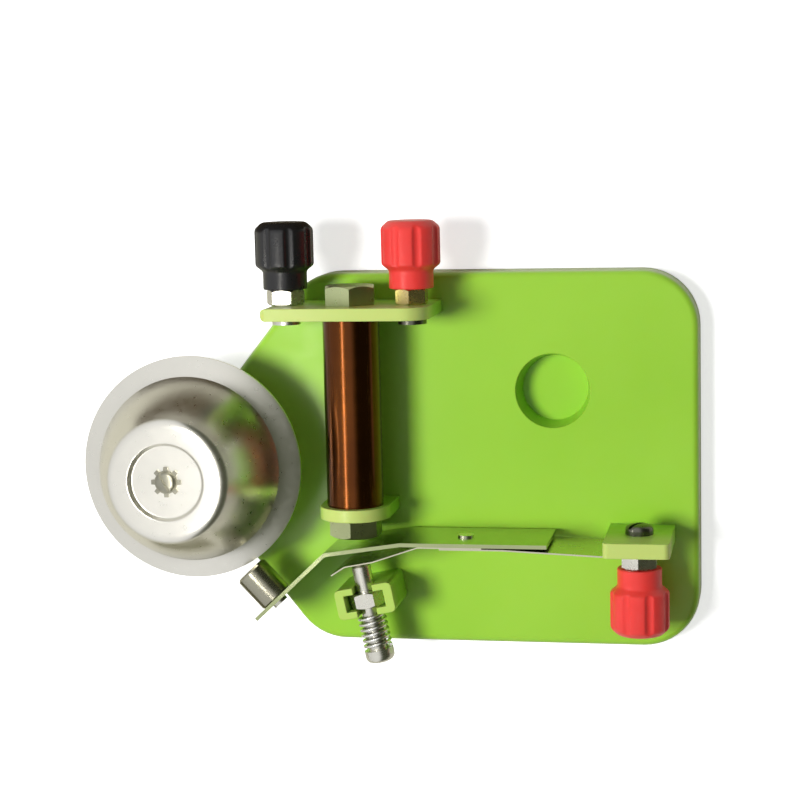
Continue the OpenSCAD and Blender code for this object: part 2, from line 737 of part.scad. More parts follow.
module terminal_stud_black() {
    color([0.6, 0.6, 0.6]) terminal_stud(post_left_x);
}

module terminal_stud_red() {
    color([0.8, 0.65, 0.3]) terminal_stud(post_right_x);
}

module terminal_bolt_right() {
    color([0.3, 0.3, 0.3]) along_y(right_x, right_wall_y + right_wall_t, -1) {
        mirror([0, 0, 1]) rotate(40) domed_head(bolt_head_r, bolt_head_h, bolt_head_h * 0.4, 0.8);
        cylinder(h = right_wall_t + right_wall_y - right_knob_y + engaged, r = stud_r);
    }
}

module terminal_nuts() {
    color([0.7, 0.7, 0.7]) {
        along_y(post_left_x, top_wall_y) nut(nut_af, nut_h, stud_r + thread_gap, false);
        along_y(right_x, right_nut_y, -1) nut(nut_af, nut_h, stud_r + thread_gap);
    }
}

module terminal_nut_brass() {
    color([0.8, 0.65, 0.3]) along_y(post_right_x, top_wall_y) nut(brass_af, nut_h, stud_r + thread_gap);
}

// A tag under a stud's head, with a tail that hangs down for the wires
module solder_tag(x) {
    in_xz(top_wall_in, tag_t) difference() {
        union() {
            translate([x, axis_z]) circle(stud_head_r);
            translate([x - tag_tail / 2, tag_foot_z]) square([tag_tail, axis_z - tag_foot_z]);
        }
        translate([x, axis_z]) circle(stud_r + hole_gap);
    }
}

module solder_tags() {
    color([0.8, 0.8, 0.75]) {
        solder_tag(post_left_x);
        solder_tag(post_right_x);
    }
}

module terminal_washer_right() {
    color([0.7, 0.7, 0.7]) along_y(right_x, right_wall_y - spring_t, -1) difference() {
        cylinder(h = tag_t, r = stud_head_r + 1);
        translate([0, 0, -1]) cylinder(h = 3, r = stud_r + hole_gap);
    }
}

module knob_bush() {
    difference() {
        cylinder(h = bush_len, r = bush_r);
        translate([0, 0, -1]) cylinder(h = bush_len + 2, r = stud_r + thread_gap);
    }
}

module knob() {
    difference() {
        rotate_extrude() polygon([[0, bush_len + face_gap], [bush_r + face_gap, bush_len + face_gap],
            [bush_r + face_gap, 0], [neck_r - 0.3, 0], [neck_r, 0.3], [neck_r, neck_len - 1.2],
            [grip_r, neck_len], [grip_r, knob_len - 1.4], [grip_r - 1.5, knob_len], [0, knob_len]]);
        for (i = [0:grooves - 1]) rotate(360 * (i + 0.5) / grooves)
            translate([grip_r + 0.85, 0, neck_len - 1.3]) cylinder(h = knob_len, r = 1.3);
    }
}

module knob_bush_black() {
    color([0.8, 0.65, 0.3]) along_y(post_left_x, knob_y) knob_bush();
}

module knob_black() {
    color([0.08, 0.08, 0.08]) along_y(post_left_x, knob_y) knob();
}

module knob_bush_red() {
    color([0.8, 0.65, 0.3]) along_y(post_right_x, knob_y) knob_bush();
}

module knob_red() {
    color([0.8, 0.1, 0.12]) along_y(post_right_x, knob_y) knob();
}

module knob_bush_right() {
    color([0.8, 0.65, 0.3]) along_y(right_x, right_knob_y, -1) knob_bush();
}

module knob_right() {
    color([0.8, 0.1, 0.12]) along_y(right_x, right_knob_y, -1) knob();
}

// ---- Armature ----

module armature() {
    path = rounded_path([[arm_end_x, arm_y], [arm_slope_x, arm_y], bend_point, arm_tip], 2, 5);
    color([0.6, 0.6, 0.58]) difference() {
        strip(path, arm_t, arm_z, arm_w);
        y_hole(rivet_x, arm_y, rivet_r + hole_gap);
        along_hammer() translate([0, 0, -2]) cylinder(h = 4, r = rivet_r + hole_gap);
    }
}

module contact_leaf() {
    path = rounded_path([[rivet_x + leaf_tail, leaf_y], [leaf_bend_x, leaf_y], leaf_point + leaf_dir * 4.6,
        leaf_point - leaf_dir * 1.5, leaf_point - leaf_dir * 1.5 + leaf_end * 3.4], 1.5, 5);
    color([0.75, 0.72, 0.6]) difference() {
        strip(path, leaf_t, arm_z, arm_w);
        y_hole(rivet_x, leaf_y, rivet_r + hole_gap);
    }
}

module leaf_contact() {
    color([0.85, 0.85, 0.85]) along_screw() translate([0, 0, leaf_reach - leaf_t / 2 - leaf_contact_h])
        cylinder(h = leaf_contact_h, r = tip_r);
}

module armature_spring() {
    path = rounded_path([[right_x + right_wall_w / 2 - 0.8, clamp_y], [right_x - right_wall_w / 2 - 0.4, clamp_y],
        [spring_free_x, spring_y], [rivet_x - leaf_tail, spring_y]], 8, 4);
    color([0.65, 0.63, 0.55]) difference() {
        strip(path, spring_t, arm_z, arm_w);
        y_hole(rivet_x, spring_y, rivet_r + hole_gap);
        y_hole(right_x, clamp_y, stud_r + hole_gap);
    }
}

module armature_rivet() {
    front = arm_y + arm_t / 2;
    back = spring_y - spring_t / 2;
    color([0.75, 0.75, 0.72]) {
        along_y(rivet_x, back - rivet_head_h) cylinder(h = rivet_head_h, r = rivet_head_r);
        along_y(rivet_x, back - rivet_head_h) cylinder(h = front - back + rivet_head_h + 0.1, r = rivet_r);
        along_y(rivet_x, front) cylinder(h = rivet_head_h * 0.6, r = rivet_head_r);
    }
}

module hammer() {
    color([0.8, 0.8, 0.78]) along_hammer() translate([0, 0, arm_t / 2]) difference() {
        rotate_extrude() polygon([[0, 0], [hammer_r - 0.3, 0], [hammer_r, 0.3], [hammer_r, hammer_len - 0.5],
            [hammer_r - 0.5, hammer_len], [0, hammer_len]]);
        translate([0, 0, -1]) cylinder(h = rivet_depth + 1.2, r = rivet_r + thread_gap);
    }
}

module hammer_rivet() {
    color([0.7, 0.7, 0.68]) along_hammer() translate([0, 0, -arm_t / 2 - rivet_head_h]) {
        cylinder(h = rivet_head_h, r = rivet_head_r);
        cylinder(h = rivet_head_h + arm_t + rivet_depth, r = rivet_r);
    }
}

// ---- Interrupter ----

module contact_screw() {
    color([0.7, 0.7, 0.68]) along_screw() difference() {
        union() {
            translate([0, 0, -screw_back]) mirror([0, 0, 1]) rotate(90)
                domed_head(screw_head_r, screw_head_h, screw_head_h * 0.45, 0.9);
            translate([0, 0, -screw_back - 0.5]) cylinder(h = screw_front + screw_back, r = screw_r);
            translate([0, 0, screw_front - 0.5]) cylinder(h = 0.5, r1 = screw_r, r2 = screw_r - 0.4);
        }
        translate([0, 0, screw_front - tip_pin_len - 0.05]) cylinder(h = 4, r = tip_pin_r + thread_gap);
    }
}

module contact_tip() {
    color([0.88, 0.88, 0.88]) along_screw() {
        translate([0, 0, screw_front - tip_pin_len]) cylinder(h = tip_pin_len + 0.1, r = tip_pin_r);
        translate([0, 0, screw_front + 0.02]) cylinder(h = tip_h - 0.02, r = tip_r);
    }
}

module contact_nut() {
    color([0.7, 0.7, 0.7]) along_screw() translate([0, 0, -nut_h / 2])
        nut(nut_af, nut_h, screw_r + thread_gap, false);
}

module contact_spring() {
    h = helix(coil_spring_r - coil_spring_wire / 2, coil_spring_turns,
        (coil_spring_len - coil_spring_wire - 0.1) / coil_spring_turns, 8);
    echo("contact_spring: least gap between turns, mm", least_gap(h, 8, coil_spring_wire));
    color([0.7, 0.7, 0.7]) along_screw() translate([0, 0, -screw_back + coil_spring_wire / 2 + 0.05])
        tube(h, coil_spring_wire, 6);
}

// The covered wire: from the inner terminal's tag, down and along under the base, up to the nut
module contact_wire() {
    route = [[wire_x, wire_y, tag_foot_z], [wire_x, wire_y, wire_z], [block_x, block_y, wire_z],
        [block_x, block_y, axis_z - nut_af / 2]];
    color([0.7, 0.1, 0.1]) tube(rounded_path(route, 1.2, 5), wire_d, 8);
}

base_moulding();
gong();
gong_post();
gong_post_foot_screw();
gong_screw();
star_washer();
core_bolt();
core_nut();
coil_former();
coil_winding();
coil_outer_turns();
coil_leads();
terminal_stud_black();
terminal_stud_red();
terminal_bolt_right();
terminal_nuts();
terminal_nut_brass();
solder_tags();
terminal_washer_right();
knob_bush_black();
knob_black();
knob_bush_red();
knob_red();
knob_bush_right();
knob_right();
armature();
contact_leaf();
leaf_contact();
armature_spring();
armature_rivet();
hammer();
hammer_rivet();
contact_screw();
contact_tip();
contact_nut();
contact_spring();
contact_wire();
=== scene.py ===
import json
import math

import bmesh
import bpy
from mathutils import Matrix, Vector


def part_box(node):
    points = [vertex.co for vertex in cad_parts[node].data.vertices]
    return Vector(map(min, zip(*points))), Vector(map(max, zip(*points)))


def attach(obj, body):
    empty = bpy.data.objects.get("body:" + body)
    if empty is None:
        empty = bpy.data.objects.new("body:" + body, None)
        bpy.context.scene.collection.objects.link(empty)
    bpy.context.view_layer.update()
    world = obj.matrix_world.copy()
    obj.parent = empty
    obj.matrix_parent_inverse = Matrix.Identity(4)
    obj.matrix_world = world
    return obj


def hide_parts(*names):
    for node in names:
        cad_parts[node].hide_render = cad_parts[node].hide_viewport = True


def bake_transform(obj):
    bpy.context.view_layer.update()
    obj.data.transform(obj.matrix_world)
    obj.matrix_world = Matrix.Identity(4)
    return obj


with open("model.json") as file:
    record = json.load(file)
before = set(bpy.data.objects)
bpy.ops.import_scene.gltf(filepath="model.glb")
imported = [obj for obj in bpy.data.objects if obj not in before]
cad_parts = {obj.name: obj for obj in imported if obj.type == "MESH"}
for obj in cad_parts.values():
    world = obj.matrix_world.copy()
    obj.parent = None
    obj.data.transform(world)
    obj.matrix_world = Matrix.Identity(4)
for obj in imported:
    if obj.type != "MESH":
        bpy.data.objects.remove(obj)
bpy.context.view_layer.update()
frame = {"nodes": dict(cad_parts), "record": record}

MM = 0.001
nodes = frame["nodes"]
body_of = {n: b for b, ns in frame["record"]["behaviour"]["bodies"].items() for n in ns}

# Camera: the photograph's angle
cam_data = bpy.data.cameras.new("camera")
cam_data.sensor_width = 36
cam_data.lens = 90.15
cam_data.clip_start = 0.01
cam = bpy.data.objects.new("camera", cam_data)
bpy.context.scene.collection.objects.link(cam)
cam.matrix_world = Matrix((
    (0.9816389, -0.0023597, 0.19073412, 0.06255),
    (-0.02387242, 0.99054199, 0.13511728, 0.07047),
    (-0.18924899, -0.13718966, 0.97229821, 0.42286),
    (0, 0, 0, 1)))
bpy.context.scene.camera = cam

# Sizes, in millimetres, as in the CAD
AXIS_Z = 17.4
GONG_X = -61.8
RIM_R, RIM_Z, CREASE_R, CREASE_H = 23.7, 19.3, 19.6, 2.9
CROWN_R, CROWN_Z, DISC_R, DISC_Z, GONG_T = 10.8, 38.9, 8.0, 37.8, 0.9
CORE_X, COIL_Y0, COIL_LEN, COIL_R = -27.05, -8.1, 39.7, 6.0
KNOB_Y, RIGHT_KNOB_Y, RIGHT_X = 37.45, -20.55, 32.4
POST_LEFT_X, POST_RIGHT_X = CORE_X - 13.75, CORE_X + 13.05
TILT = 11
BLOCK = (-24.95, -28.2)

# Places in metres, for the materials: the base's half sizes and corner, the heights between which the
# painted sheen grows towards the walls' tops and where the upright rim with its painted sheen ends, and how
# far light scatters in plastic
EDGE_X, EDGE_Y, EDGE_R = 0.04425, 0.0400, 0.0120
WALL_TOP_SHEEN_Z = (0.0165, 0.0235)
RIM_SHEEN_TOP_Z = (0.0060, 0.0068)
SCATTER = 0.0015


# ---- Mesh helpers ----

def bezier(a, b, c, d, n):
    out = []
    for i in range(n + 1):
        t = i / n
        w = ((1 - t) ** 3, 3 * t * (1 - t) ** 2, 3 * t * t * (1 - t), t ** 3)
        out.append(tuple(w[0] * a[k] + w[1] * b[k] + w[2] * c[k] + w[3] * d[k] for k in range(len(a))))
    return out


def round_corners(pts, r, n=4, closed=False):
    """A 2-D outline with each corner rounded; r is one radius or one for each corner."""
    out = []
    m = len(pts)
    for i, p in enumerate(pts):
        ri = r[i] if isinstance(r, (list, tuple)) else r
        if ri <= 0 or (not closed and i in (0, m - 1)):
            out.append(p)
            continue
        b = Vector(p)
        u = Vector(pts[i - 1]) - b
        v = Vector(pts[(i + 1) % m]) - b
        d = min(ri, u.length * 0.45, v.length * 0.45)
        a = b + u.normalized() * d
        c = b + v.normalized() * d
        for k in range(n + 1):
            t = k / n
            out.append(tuple(a * (1 - t) ** 2 + b * 2 * t * (1 - t) + c * t * t))
    return out


def make(name, verts, faces, mat, smooth=35):
    """A mesh object in metres from points in millimetres."""
    me = bpy.data.meshes.new(name)
    me.from_pydata([tuple(c * MM for c in v) for v in verts], [], faces)
    me.validate()
    bm = bmesh.new()
    bm.from_mesh(me)
    bmesh.ops.remove_doubles(bm, verts=bm.verts, dist=1e-7)
    bmesh.ops.recalc_face_normals(bm, faces=bm.faces)
    bm.to_mesh(me)
    bm.free()
    me.polygons.foreach_set("use_smooth", [True] * len(me.polygons))
    me.set_sharp_from_angle(angle=math.radians(smooth))
    me.materials.append(mat)
    ob = bpy.data.objects.new(name, me)
    bpy.context.scene.collection.objects.link(ob)
    return ob


def lathe(profile, segs, place, radius=None):
    """Points and faces of a turned shape; profile is (r, h), place maps (x, y, h) to the frame."""
    verts, faces = [], []
    n = len(profile)
    for i in range(segs):
        a = 2 * math.pi * i / segs
        for k, (r, h) in enumerate(profile):
            rr = radius(r, h, a) if radius else r
            verts.append(place(rr * math.cos(a), rr * math.sin(a), h))
    for i in range(segs):
        j = (i + 1) % segs
        for k in range(n - 1):
            f = [i * n + k, i * n + k + 1, j * n + k + 1, j * n + k]
            if profile[k][0] == 0:
                f = [i * n + k, i * n + k + 1, j * n + k + 1]
            elif profile[k + 1][0] == 0:
                f = [i * n + k, i * n + k + 1, j * n + k]
            faces.append(f)
    return verts, faces


def tube(path, r, sides):
    """Points and faces of a round wire along a path."""
    verts, faces = [], []
    n = len(path)
    pts = [Vector(p) for p in path]
    ref = None
    for i, p in enumerate(pts):
        h = (pts[min(i + 1, n - 1)] - pts[max(i - 1, 0)]).normalized()
        if ref is None:
            ref = h.cross(Vector((0.31, 0.22, 0.92))).normalized()
        a = (ref - h * ref.dot(h)).normalized()
        ref = a
        b = h.cross(a)
        for s in range(sides):
            t = 2 * math.pi * s / sides
            verts.append(tuple(p + (a * math.cos(t) + b * math.sin(t)) * r))
    for i in range(n - 1):
        for s in range(sides):
            q = (s + 1) % sides
            faces.append([i * sides + s, i * sides + q, (i + 1) * sides + q, (i + 1) * sides + s])
    faces.append(list(range(sides))[::-1])
    faces.append([(n - 1) * sides + s for s in range(sides)])
    return verts, faces


def along_y(x, y, side=1):
    """Maps a turned shape's own place to the frame: its length runs along +Y or -Y."""
    return lambda px, py, h: (x + px, y + side * h, AXIS_Z - side * py)


TS, TC = math.sin(math.radians(TILT)), math.cos(math.radians(TILT))


def along_screw(px, py, h):
    return (BLOCK[0] + px * TC - h * TS, BLOCK[1] + px * TS + h * TC, AXIS_Z - py)


def join(parts):
    verts, faces = [], []
    for v, f in parts:
        o = len(verts)
        verts += v
        faces += [[i + o for i in q] for q in f]
    return verts, faces


# ---- Materials ----

def math_node(nt, op, a, b=None):
    n = nt.nodes.new("ShaderNodeMath")
    n.operation = op
    for k, v in enumerate((a, b)):
        if v is None:
            continue
        if isinstance(v, (int, float)):
            n.inputs[k].default_value = v
        else:
            nt.links.new(v, n.inputs[k])
    return n.outputs[0]


def colour_mix(nt, factor, a, b):
    """One colour at factor 0 and another at factor 1; each is a colour or a socket."""
    mix = nt.nodes.new("ShaderNodeMix")
    mix.data_type = "RGBA"
    nt.links.new(factor, mix.inputs["Factor"])
    for socket, v in ((mix.inputs[6], a), (mix.inputs[7], b)):
        if isinstance(v, tuple):
            socket.default_value = (*v, 1)
        else:
            nt.links.new(v, socket)
    return mix.outputs[2]


def new_mat(name):
    m = bpy.data.materials.new(name)
    m.use_nodes = True
    nt = m.node_tree
    nt.nodes.clear()
    out = nt.nodes.new("ShaderNodeOutputMaterial")
    bsdf = nt.nodes.new("ShaderNodeBsdfPrincipled")
    nt.links.new(bsdf.outputs["BSDF"], out.inputs["Surface"])
    return m, nt, bsdf


def coords(nt):
    return nt.nodes.new("ShaderNodeTexCoord").outputs["Object"]


def noise(nt, scale, detail=3, rough=0.55, stretch=None):
    src = coords(nt)
    if stretch:
        mp = nt.nodes.new("ShaderNodeMapping")
        mp.inputs["Scale"].default_value = stretch
        nt.links.new(src, mp.inputs["Vector"])
        src = mp.outputs["Vector"]
    nz = nt.nodes.new("ShaderNodeTexNoise")
    nz.inputs["Scale"].default_value = scale
    nz.inputs["Detail"].default_value = detail
    nz.inputs["Roughness"].default_value = rough
    nt.links.new(src, nz.inputs["Vector"])
    return nz.outputs["Fac"]


def ramp(nt, fac, stops):
    r = nt.nodes.new("ShaderNodeValToRGB")
    els = r.color_ramp.elements
    while len(els) < len(stops):
        els.new(0.5)
    for e, (pos, col) in zip(els, stops):
        e.position = pos
        e.color = (*col, 1)
    nt.links.new(fac, r.inputs["Fac"])
    return r.outputs["Color"]


def to_range(nt, fac, lo, hi, a=0.3, b=0.7):
    r = nt.nodes.new("ShaderNodeMapRange")
    r.inputs["From Min"].default_value = a
    r.inputs["From Max"].default_value = b
    r.inputs["To Min"].default_value = lo
    r.inputs["To Max"].default_value = hi
    nt.links.new(fac, r.inputs["Value"])
    return r.outputs["Result"]


def bump(nt, bsdf, height, dist, edge):
    """A fine grain dist mm deep, with edges that look rounded over edge mm."""
    b = nt.nodes.new("ShaderNodeBump")
    b.inputs["Strength"].default_value = 1.0
    b.inputs["Distance"].default_value = dist * MM
    nt.links.new(height, b.inputs["Height"])
    if edge:
        e = nt.nodes.new("ShaderNodeBevel")
        e.samples = 4
        e.inputs["Radius"].default_value = edge * MM
        nt.links.new(e.outputs["Normal"], b.inputs["Normal"])
    nt.links.new(b.outputs["Normal"], bsdf.inputs["Normal"])


def scaled(c, k):
    return tuple(min(1, v * k) for v in c)


def plastic(name, col, rough, edge, spread=0.06, sub=0.0):
    m, nt, bsdf = new_mat(name)
    base = ramp(nt, noise(nt, 70, 4), [(0.3, scaled(col, 1 - spread)), (0.7, scaled(col, 1 + spread))])
    nt.links.new(base, bsdf.inputs["Base Color"])
    nt.links.new(to_range(nt, noise(nt, 400, 3), rough - 0.05, rough + 0.07), bsdf.inputs["Roughness"])
    bsdf.inputs["IOR"].default_value = 1.5
    if sub:
        bsdf.inputs["Subsurface Weight"].default_value = sub
        bsdf.inputs["Subsurface Scale"].default_value = SCATTER
    bump(nt, bsdf, noise(nt, 2600, 4, 0.6), 0.006, edge)
    return m


def metal(name, col, rough, dirt, spread=0.04):
    m, nt, bsdf = new_mat(name)
    base = ramp(nt, noise(nt, 120, 4, 0.6), [(0.3, scaled(col, 1 - dirt)), (0.65, col)])
    nt.links.new(base, bsdf.inputs["Base Color"])
    bsdf.inputs["Metallic"].default_value = 1.0
    nt.links.new(to_range(nt, noise(nt, 700, 3, 0.6), rough - spread, rough + spread),
                 bsdf.inputs["Roughness"])
    return m


def past(nt, axis, limit):
    """How far a coordinate lies beyond limit, on either side of 0, and 0 inside it."""
    return math_node(nt, "MAXIMUM", math_node(nt, "SUBTRACT", math_node(nt, "ABSOLUTE", axis), limit), 0.0)


def moulded():
    """The base: glossy yellow-green plastic, with a painted sheen that makes it paler towards the walls'
    tops and on its upright rim.
    """
    m, nt, bsdf = new_mat("green_plastic")
    body = ramp(nt, noise(nt, 22, 3, 0.5), [(0.3, (0.300, 0.600, 0.034)), (0.7, (0.345, 0.655, 0.050))])
    axes = nt.nodes.new("ShaderNodeSeparateXYZ")
    nt.links.new(coords(nt), axes.inputs["Vector"])
    # Painted sheen: paler yellow-green towards the walls' tops, standing in for the light they reflect
    wall_top_sheen = to_range(nt, axes.outputs["Z"], 0.0, 1.0, *WALL_TOP_SHEEN_Z)
    body = colour_mix(nt, wall_top_sheen, body, (0.54, 0.66, 0.17))
    # The upright rim lies at the corner radius from the middle lines of the rounded square's corners
    out_x = past(nt, axes.outputs["X"], EDGE_X - EDGE_R)
    out_y = past(nt, axes.outputs["Y"], EDGE_Y - EDGE_R)
    out_r = math_node(nt, "SQRT", math_node(nt, "ADD", math_node(nt, "MULTIPLY", out_x, out_x),
                                            math_node(nt, "MULTIPLY", out_y, out_y)))
    # Painted sheen on the upright rim below its top edge: a paler, greyer green that stands in for the
    # bright floor it reflects and lifts its shaded side
    low = to_range(nt, axes.outputs["Z"], 1.0, 0.0, *RIM_SHEEN_TOP_Z)
    rim_sheen = to_range(nt, out_r, 0.0, 1.0, EDGE_R - 0.0006, EDGE_R - 0.0001)
    body = colour_mix(nt, math_node(nt, "MULTIPLY", rim_sheen, low), body, (0.60, 0.72, 0.38))
    nt.links.new(body, bsdf.inputs["Base Color"])
    nt.links.new(to_range(nt, noise(nt, 300, 3), 0.30, 0.42), bsdf.inputs["Roughness"])
    bsdf.inputs["Subsurface Weight"].default_value = 0.12
    bsdf.inputs["Subsurface Scale"].default_value = SCATTER
    bump(nt, bsdf, noise(nt, 1500, 3, 0.6), 0.003, 0.35)
    return m


green = moulded()
black = plastic("black_plastic", (0.010, 0.010, 0.011), 0.30, edge=0.2, spread=0.2)
red = plastic("red_plastic", (0.84, 0.052, 0.045), 0.34, edge=0.2, spread=0.08, sub=0.2)
former = plastic("former_plastic", (0.75, 0.74, 0.66), 0.5, edge=0.1)
cover = plastic("wire_cover", (0.45, 0.02, 0.02), 0.42, edge=0.0)
nickel = metal("satin_nickel", (0.80, 0.785, 0.72), 0.30, spread=0.03, dirt=0.04)
hammer_metal = metal("hammer_steel", (0.38, 0.37, 0.29), 0.24, spread=0.03, dirt=0.1)
steel = metal("zinc_steel", (0.70, 0.69, 0.62), 0.28, dirt=0.1)
# Core bolt and nut: steel tinted green, a painted reflection of the green base around them
steel_painted_green_reflection = metal("steel_painted_green_reflection", (0.52, 0.58, 0.31), 0.30, dirt=0.12)
# Black steel for the right terminal bolt; on the red terminal's stud, whose head lies behind its wall, the
# black is painted shade
black_steel_and_painted_shade = metal("black_and_painted_shade_steel", (0.16, 0.16, 0.13), 0.30, dirt=0.2)
worn_steel = metal("worn_steel", (0.42, 0.41, 0.33), 0.34, dirt=0.5)
# Armature strip: steel tinted green, a painted reflection of the green base
strip_steel_painted_green = metal("strip_steel_painted_green", (0.42, 0.47, 0.25), 0.22, dirt=0.08)
bronze = metal("leaf_bronze", (0.62, 0.60, 0.46), 0.24, dirt=0.12)
brass = metal("turned_brass", (0.84, 0.66, 0.32), 0.26, dirt=0.08)
tinned = metal("tinned_tag", (0.70, 0.69, 0.64), 0.38, dirt=0.2)
silver = metal("silver_contact", (0.86, 0.85, 0.82), 0.2, dirt=0.08)
spring_wire = metal("spring_wire", (0.80, 0.80, 0.76), 0.22, dirt=0.08)


def enamel():
    """Lacquered copper wire: brown-red where it reflects dark, pale where it reflects the light."""
    m, nt, bsdf = new_mat("enamelled_copper")
    col = ramp(nt, noise(nt, 90, 4, 0.6, (0.15, 1, 0.15)),
               [(0.3, (0.090, 0.024, 0.003)), (0.7, (0.135, 0.038, 0.004))])
    nt.links.new(col, bsdf.inputs["Base Color"])
    bsdf.inputs["Metallic"].default_value = 1.0
    bsdf.inputs["Coat Weight"].default_value = 0.18
    bsdf.inputs["Coat Roughness"].default_value = 0.06
    nt.links.new(to_range(nt, noise(nt, 600, 3), 0.16, 0.24), bsdf.inputs["Roughness"])
    return m


copper = enamel()

DRESS = {
    "base_moulding": green, "gong": nickel, "gong_post": steel, "gong_post_foot_screw": steel,
    "gong_screw": worn_steel, "star_washer": worn_steel, "core_bolt": steel_painted_green_reflection, "core_nut": steel_painted_green_reflection,
    "coil_former": former, "coil_winding": copper, "coil_outer_turns": copper, "coil_leads": copper,
    "terminal_stud_black": steel, "terminal_stud_red": black_steel_and_painted_shade, "terminal_bolt_right": black_steel_and_painted_shade,
    "terminal_nuts": steel, "terminal_nut_brass": brass, "solder_tags": tinned,
    "terminal_washer_right": steel, "knob_bush_black": brass, "knob_black": black,
    "knob_bush_red": brass, "knob_red": red, "knob_bush_right": brass, "knob_right": red,
    "armature": strip_steel_painted_green, "contact_leaf": bronze, "leaf_contact": silver,
    "armature_spring": bronze, "armature_rivet": steel, "hammer": hammer_metal, "hammer_rivet": steel,
    "contact_screw": steel, "contact_tip": silver, "contact_nut": steel,
    "contact_spring": spring_wire, "contact_wire": cover}

for name, ob in nodes.items():
    ob.data.materials.clear()
    ob.data.materials.append(DRESS[name])


def piece(ob, node, span=None):
    """ob stands for a CAD node: it rides on the node's body, or stays fixed where it is when a span is
    given, and hides the node.
    """
    if span:
        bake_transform(ob)
    else:
        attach(ob, body_of[node])
    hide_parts(node)
    return ob


# ---- Gong: turned once more with fine steps ----

crease_z = RIM_Z + CREASE_H
outside = [(RIM_R - 0.12, RIM_Z), (RIM_R, RIM_Z + 0.12)] + bezier(
    (RIM_R, RIM_Z + GONG_T - 0.1), (RIM_R - 1.2, RIM_Z + GONG_T + 0.52),
    (CREASE_R + 1.0, crease_z - 0.7), (CREASE_R, crease_z), 16)
outside += bezier((CREASE_R, crease_z), (CREASE_R - 1.6, crease_z + 5.6),
                  (CROWN_R + 4.8, CROWN_Z - 5.1), (CROWN_R + 2.4, CROWN_Z - 1.5), 24)[1:]
outside += bezier((CROWN_R + 2.4, CROWN_Z - 1.5), (CROWN_R + 1.9, CROWN_Z - 0.6),
                  (CROWN_R + 1.2, CROWN_Z), (CROWN_R, CROWN_Z), 12)[1:]
outside += round_corners([(CROWN_R, CROWN_Z), (DISC_R, CROWN_Z), (DISC_R - 0.45, DISC_Z),
                          (1.6, DISC_Z)], 0.35, 5)[1:]
inside = [(1.6, DISC_Z - GONG_T), (DISC_R - 0.3, DISC_Z - GONG_T), (DISC_R + 0.8, CROWN_Z - GONG_T)]
inside += bezier((CROWN_R - 0.2, CROWN_Z - GONG_T), (CROWN_R + 0.6, CROWN_Z - GONG_T),
                 (CROWN_R + 1.5 - GONG_T * 0.5, CROWN_Z - 1.2), (CROWN_R + 2.4 - GONG_T, CROWN_Z - 1.9), 8)
inside += bezier((CROWN_R + 2.4 - GONG_T, CROWN_Z - 1.9), (CROWN_R + 4.8 - GONG_T, CROWN_Z - 5.3),
                 (CREASE_R - GONG_T - 1.6, crease_z + 5.6), (CREASE_R - GONG_T, crease_z), 16)[1:]
inside += bezier((CREASE_R - GONG_T, crease_z), (CREASE_R + 0.3 - GONG_T, crease_z - 1.8),
                 (RIM_R - 1.8, RIM_Z + 0.2), (RIM_R - 0.4, RIM_Z), 12)[1:]
v, f = lathe(outside + inside + [outside[0]], 256, lambda x, y, h: (GONG_X + x, y, h))
piece(make("gong_shell", v, f, nickel, 40), "gong")


# ---- Coil: one layer of fine enamelled wire over a plain core ----

WIRE_D = 0.30
pitch = WIRE_D * 1.01
lacquer_r = COIL_R - 0.10
turns = (COIL_LEN - 0.6) / pitch
steps = 24
wind = []
for i in range(int(turns * steps) + 1):
    a = 2 * math.pi * i / steps
    h = 0.3 + pitch * i / steps
    r = lacquer_r + 0.035 - WIRE_D / 2 + 0.02 * math.sin(h * 0.33) + 0.012 * math.sin(h * 1.1 + 1)
    wind.append((CORE_X + r * math.cos(a), COIL_Y0 + h, AXIS_Z - r * math.sin(a)))
core_prof = [(3.95, 0.02), (lacquer_r, 0.02), (lacquer_r, COIL_LEN - 0.02), (3.95, COIL_LEN - 0.02)]
v, f = join([tube(wind, WIRE_D / 2, 8), lathe(core_prof, 96, along_y(CORE_X, COIL_Y0))])
piece(make("coil_fine_winding", v, f, copper, 60), "coil_outer_turns")


# ---- Knobs ----

NECK_R, GRIP_R, KNOB_LEN, NECK_LEN, BUSH_R = 4.6, 6.1, 14.0, 5.0, 3.0
BORE_R, BORE_LEN = BUSH_R + 0.05, 10.05
knob_outline = ([(BORE_R, BORE_LEN), (BORE_R, 0.0)]
                + round_corners([(BORE_R, 0), (NECK_R, 0), (NECK_R, NECK_LEN - 1.2), (GRIP_R, NECK_LEN),
                                 (GRIP_R, KNOB_LEN - 1.4), (GRIP_R - 1.5, KNOB_LEN), (0, KNOB_LEN)],
                                [0, 0.35, 0.5, 0.45, 0.6, 0.6, 0], 4)[1:])
fine = []
for p, q in zip(knob_outline, knob_outline[1:]):
    fine.append(p)
    n = int(max(abs(p[0] - q[0]), abs(p[1] - q[1])) / 0.6)
    for i in range(1, n + 1):
        t = i / (n + 1)
        fine.append((p[0] + (q[0] - p[0]) * t, p[1] + (q[1] - p[1]) * t))
fine.append(knob_outline[-1])
fine = [(0, BORE_LEN)] + fine


def fluted(r, h, a, count=8, depth_at=6.95, groove=1.3):
    if r < NECK_R + 0.1 or h < NECK_LEN - 1.2:
        return r
    step = 2 * math.pi / count
    d = (a % step) - step / 2
    s = depth_at * math.sin(d)
    if abs(s) >= groove:
        return r
    lim = depth_at * math.cos(d) - math.sqrt(groove * groove - s * s)
    k = 0.12
    e = max(k - abs(r - lim), 0) / k
    return min(r, lim) - e * e * k * 0.25


for node, place, mat in (("knob_black", along_y(POST_LEFT_X, KNOB_Y), black),
                         ("knob_red", along_y(POST_RIGHT_X, KNOB_Y), red),
                         ("knob_right", along_y(RIGHT_X, RIGHT_KNOB_Y, -1), red)):
    v, f = lathe(fine, 192, place, fluted)
    piece(make(node + "_cap", v, f, mat, 40), node)
